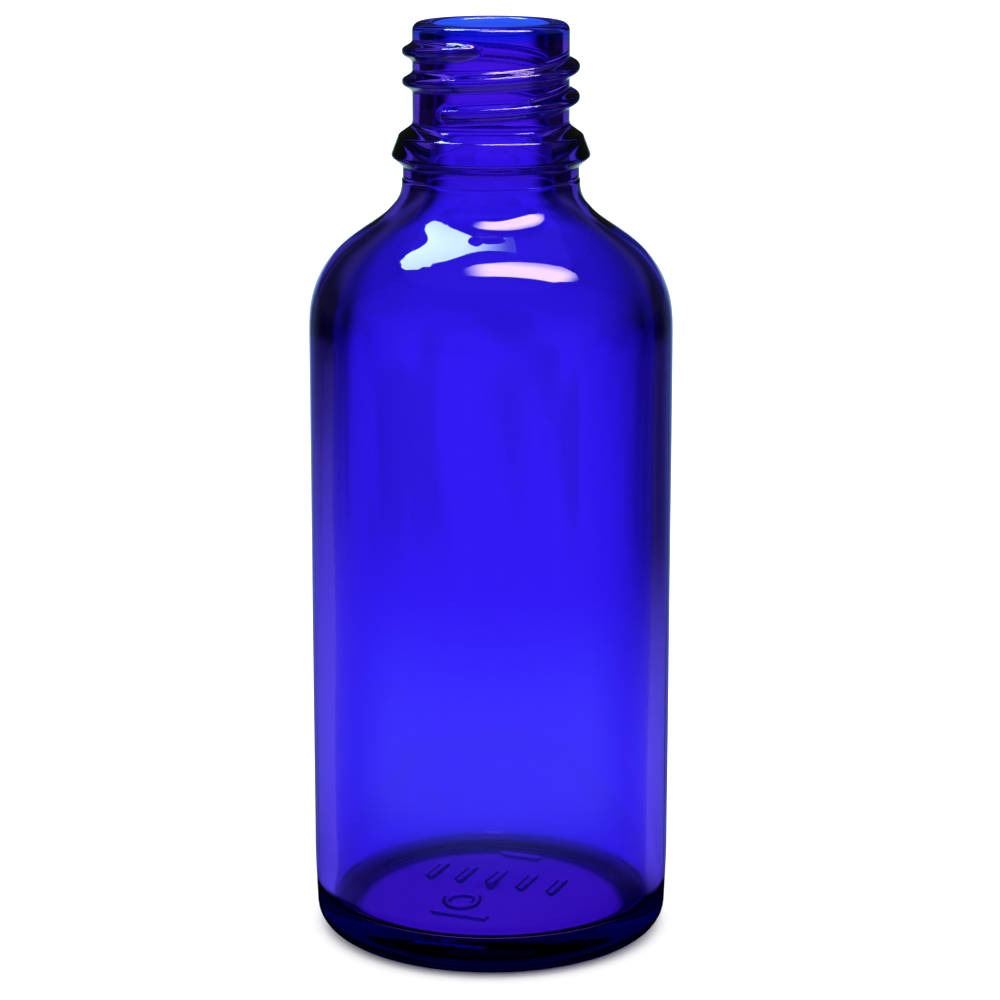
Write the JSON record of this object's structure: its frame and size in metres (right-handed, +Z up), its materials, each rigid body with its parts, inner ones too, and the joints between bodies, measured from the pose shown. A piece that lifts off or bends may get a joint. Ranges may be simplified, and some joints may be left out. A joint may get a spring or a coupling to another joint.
{
  "type": "glass bottle",
  "caption": "Round moulded cobalt-blue glass bottle with a threaded 18 mm neck, open mouth and tamper bead, for a fragrance spray pump, dropper or screw cap.",
  "frame": {"origin": "centre of the base, on the plane that the bearing ring stands on", "axes": "+Z up along the bottle's axis towards the mouth; -Y is the front, where the screw thread starts at the top of the neck"},
  "size_m": [0.037, 0.037, 0.094],
  "materials": {
    "cobalt_glass": "polished moulded glass, coloured through"
  },
  "bodies": {
    "root": {"bottle": "cobalt_glass"}
  },
  "joints": []
}
